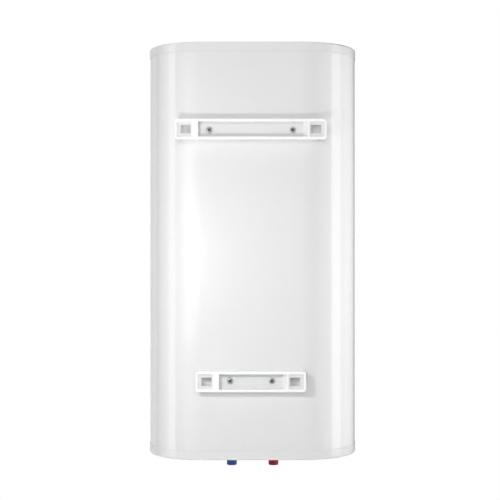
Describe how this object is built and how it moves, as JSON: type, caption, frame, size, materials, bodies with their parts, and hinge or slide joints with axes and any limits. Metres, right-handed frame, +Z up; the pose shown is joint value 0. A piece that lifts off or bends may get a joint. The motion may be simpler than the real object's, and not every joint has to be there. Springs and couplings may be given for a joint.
{
  "type": "tank water heater",
  "caption": "Flat wall-hung electric storage water heater with two upright tanks in a white case, wall brackets behind, pipe ends with push-on caps below and a control panel in front.",
  "frame": {"origin": "on the wall plane, midway across, level with the middle of the upper wall bracket", "axes": "+X across, towards the cold pipe; +Y towards the wall; +Z up"},
  "size_m": [0.493, 0.3112, 0.9935],
  "materials": {
    "shell_paint": "gloss",
    "cap_plastic": "gloss",
    "bracket_paint": "gloss",
    "foam": "matte",
    "stainless": "satin",
    "zinc_steel": "satin",
    "steel_screw": "satin",
    "blue_cap_plastic": "satin",
    "red_cap_plastic": "satin",
    "rubber": "matte",
    "element_sheath": "satin",
    "magnesium": "matte",
    "diffuser_plastic": "matte",
    "cutout_plastic": "satin",
    "reset_plastic": "gloss",
    "probe_metal": "satin",
    "gland_plastic": "satin",
    "terminal_plastic": "satin",
    "lead_insulation": "satin",
    "panel_plastic": "gloss",
    "window_glass": "gloss",
    "display_plastic": "gloss",
    "housing_plastic": "matte",
    "board_laminate": "satin",
    "knob_plastic": "satin",
    "shaft_plastic": "satin",
    "button_plastic": "satin",
    "switch_plastic": "satin"
  },
  "bodies": {
    "heater": {"bottom_cap": "cap_plastic", "bracket_screws": "steel_screw", "button_switches": "switch_plastic", "cable_gland": "gland_plastic", "cap_posts": "zinc_steel", "cap_screws": "zinc_steel", "cold_anode": "magnesium", "cold_flange": "zinc_steel", "cold_gasket": "rubber", "cold_heating_element": "element_sheath", "cold_nipple": "stainless", "cold_tank": "stainless", "control_board": "board_laminate", "control_housing": "housing_plastic", "control_panel": "panel_plastic", "display_module": "display_plastic", "display_window": "window_glass", "earth_stud": "zinc_steel", "encoder_body": "cutout_plastic", "flange_nuts": "zinc_steel", "flange_studs": "zinc_steel", "foam_insulation": "foam", "gland_nut": "gland_plastic", "hot_anode": "magnesium", "hot_flange": "zinc_steel", "hot_gasket": "rubber", "hot_heating_element": "element_sheath", "hot_nipple": "stainless", "hot_outlet_pipe": "stainless", "hot_tank": "stainless", "inlet_diffuser": "diffuser_plastic", "internal_leads": "lead_insulation", "lower_bracket": "bracket_paint", "lower_link_pipe": "stainless", "lower_mounting_bar": "zinc_steel", "mounting_bosses": "zinc_steel", "nipple_grommets": "rubber", "outer_shell": "shell_paint", "sensor_pockets": "stainless", "temperature_probes": "probe_metal", "terminal_block": "terminal_plastic", "thermal_cutout": "cutout_plastic", "top_cap": "cap_plastic", "upper_bracket": "bracket_paint", "upper_link_pipe": "stainless", "upper_mounting_bar": "zinc_steel"},
    "cold_cap": {"cold_thread_cap": "blue_cap_plastic"},
    "hot_cap": {"hot_thread_cap": "red_cap_plastic"},
    "knob": {"temperature_knob": "knob_plastic", "knob_shaft": "shaft_plastic"},
    "power_key": {"power_button": "button_plastic"},
    "mode_key": {"mode_button": "button_plastic"},
    "reset_key": {"reset_button": "reset_plastic"}
  },
  "joints": [
    {"name": "cold_cap_slide", "type": "slide", "parent": "heater", "child": "cold_cap", "axis": [0, 0, -1], "range_m": [0, 0.04]},
    {"name": "hot_cap_slide", "type": "slide", "parent": "heater", "child": "hot_cap", "axis": [0, 0, -1], "range_m": [0, 0.04]},
    {"name": "temperature_knob_turn", "type": "hinge", "parent": "heater", "child": "knob", "pos_m": [0.04, -0.2952, -0.6056], "axis": [0, -1, 0], "range_deg": [-135, 135]},
    {"name": "power_button_press", "type": "slide", "parent": "heater", "child": "power_key", "axis": [0, 1, 0], "range_m": [0, 0.001], "stiffness_N_per_m": 600},
    {"name": "mode_button_press", "type": "slide", "parent": "heater", "child": "mode_key", "axis": [0, 1, 0], "range_m": [0, 0.001], "stiffness_N_per_m": 600},
    {"name": "reset_button_press", "type": "slide", "parent": "heater", "child": "reset_key", "axis": [0, 0, 1], "range_m": [0, 0.0015], "stiffness_N_per_m": 800}
  ]
}
